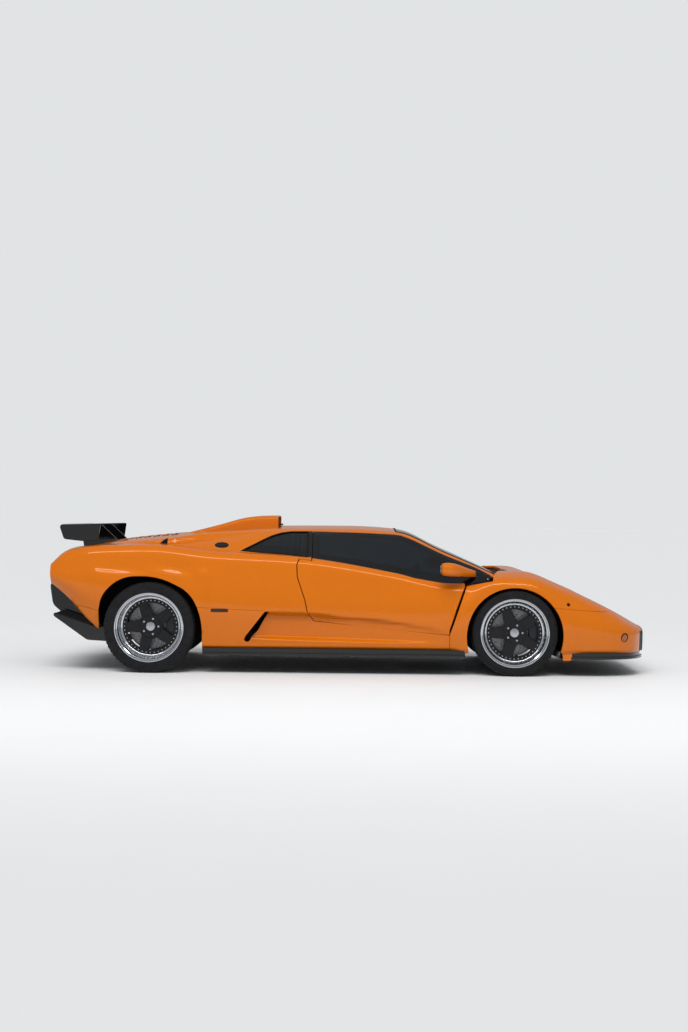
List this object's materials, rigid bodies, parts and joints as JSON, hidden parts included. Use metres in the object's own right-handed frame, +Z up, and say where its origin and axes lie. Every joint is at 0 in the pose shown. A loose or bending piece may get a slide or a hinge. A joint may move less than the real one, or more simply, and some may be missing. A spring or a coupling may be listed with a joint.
{
  "type": "mid-engined supercar with scissor doors",
  "caption": "Low wedge-shaped two-seat sports car with upward-swinging doors, roof air scoop, rear wing, opening lids, steered front wheels and four turning wheels.",
  "frame": {"origin": "on the ground, under the middle of the car's overall length and width", "axes": "+X to the nose, +Y to the car's left, +Z up"},
  "size_m": [4.4304, 2.15, 1.15],
  "materials": {
    "body_paint": "gloss clear-coated orange",
    "dark_glass": "tinted",
    "gloss_black": "gloss lacquered carbon fibre",
    "lamp_clear": "clear polycarbonate",
    "lamp_red": "red lens",
    "black_plastic": "grained",
    "leather": "smooth black leather",
    "dark_steel": "satin dark",
    "engine_metal": "cast",
    "bright_pipe": "polished",
    "caliper_paint": "satin black",
    "tyre_rubber": "black rubber",
    "wheel_black": "black spokes with a polished lip",
    "brake_steel": "machined"
  },
  "bodies": {
    "root": {"front_clip": "body_paint", "side_sills": "body_paint", "roof_frame": "body_paint", "windscreen": "dark_glass", "quarter_windows": "dark_glass", "rear_window": "dark_glass", "rear_clip": "body_paint", "door_hinges": "dark_steel", "front_splitter": "gloss_black", "side_skirts": "gloss_black", "rear_diffuser": "gloss_black", "exhaust_tips": "bright_pipe", "rear_wing": "gloss_black", "headlamps": "lamp_clear", "tail_grille": "black_plastic", "tail_lamps": "lamp_red", "floor_pan": "black_plastic", "dashboard": "black_plastic", "seats": "leather", "steering_wheel": "black_plastic", "engine_rails": "dark_steel", "engine_block": "engine_metal", "front_arms": "dark_steel", "rear_uprights": "dark_steel", "rear_calipers": "caliper_paint", "rear_arms": "dark_steel"},
    "bonnet": {"bonnet": "body_paint"},
    "engine_lid": {"engine_lid": "body_paint", "roof_scoop": "body_paint"},
    "door_left": {"door_left_panel": "body_paint", "door_left_glass": "dark_glass", "door_left_mirror": "body_paint"},
    "knuckle_left": {"front_left_upright": "dark_steel", "front_left_caliper": "caliper_paint"},
    "front_wheel_left": {"front_left_tyre": "tyre_rubber", "front_left_rim": "wheel_black", "front_left_disc": "brake_steel"},
    "rear_wheel_left": {"rear_left_tyre": "tyre_rubber", "rear_left_rim": "wheel_black", "rear_left_disc": "brake_steel"},
    "door_right": {"door_right_panel": "body_paint", "door_right_glass": "dark_glass", "door_right_mirror": "body_paint"},
    "knuckle_right": {"front_right_upright": "dark_steel", "front_right_caliper": "caliper_paint"},
    "front_wheel_right": {"front_right_tyre": "tyre_rubber", "front_right_rim": "wheel_black", "front_right_disc": "brake_steel"},
    "rear_wheel_right": {"rear_right_tyre": "tyre_rubber", "rear_right_rim": "wheel_black", "rear_right_disc": "brake_steel"}
  },
  "joints": [
    {"name": "bonnet_hinge", "type": "hinge", "parent": "root", "child": "bonnet", "pos_m": [1.178, 0, 0.756], "axis": [0, -1, 0], "range_deg": [0, 60]},
    {"name": "engine_lid_hinge", "type": "hinge", "parent": "root", "child": "engine_lid", "pos_m": [-0.522, 0, 1.092], "axis": [0, 1, 0], "range_deg": [0, 40]},
    {"name": "door_left_hinge", "type": "hinge", "parent": "root", "child": "door_left", "pos_m": [1.02, 0.83, 0.702], "axis": [0, 1, 0], "range_deg": [0, 65]},
    {"name": "steering_left", "type": "hinge", "parent": "root", "child": "knuckle_left", "pos_m": [1.215, 0.747, 0.314], "axis": [0, 0, 1], "range_deg": [-30, 30]},
    {"name": "front_wheel_left_spin", "type": "hinge", "parent": "knuckle_left", "child": "front_wheel_left", "pos_m": [1.215, 0.825, 0.314], "axis": [0, 1, 0], "continuous": true},
    {"name": "rear_wheel_left_spin", "type": "hinge", "parent": "root", "child": "rear_wheel_left", "pos_m": [-1.435, 0.835, 0.329], "axis": [0, 1, 0], "continuous": true},
    {"name": "door_right_hinge", "type": "hinge", "parent": "root", "child": "door_right", "pos_m": [1.02, -0.83, 0.702], "axis": [0, 1, 0], "range_deg": [0, 65]},
    {"name": "steering_right", "type": "hinge", "parent": "root", "child": "knuckle_right", "pos_m": [1.215, -0.747, 0.314], "axis": [0, 0, 1], "range_deg": [-30, 30]},
    {"name": "front_wheel_right_spin", "type": "hinge", "parent": "knuckle_right", "child": "front_wheel_right", "pos_m": [1.215, -0.825, 0.314], "axis": [0, 1, 0], "continuous": true},
    {"name": "rear_wheel_right_spin", "type": "hinge", "parent": "root", "child": "rear_wheel_right", "pos_m": [-1.435, -0.835, 0.329], "axis": [0, 1, 0], "continuous": true}
  ],
  "couplings": [
    {"joint": "steering_right", "follows": "steering_left", "ratio": 1}
  ]
}
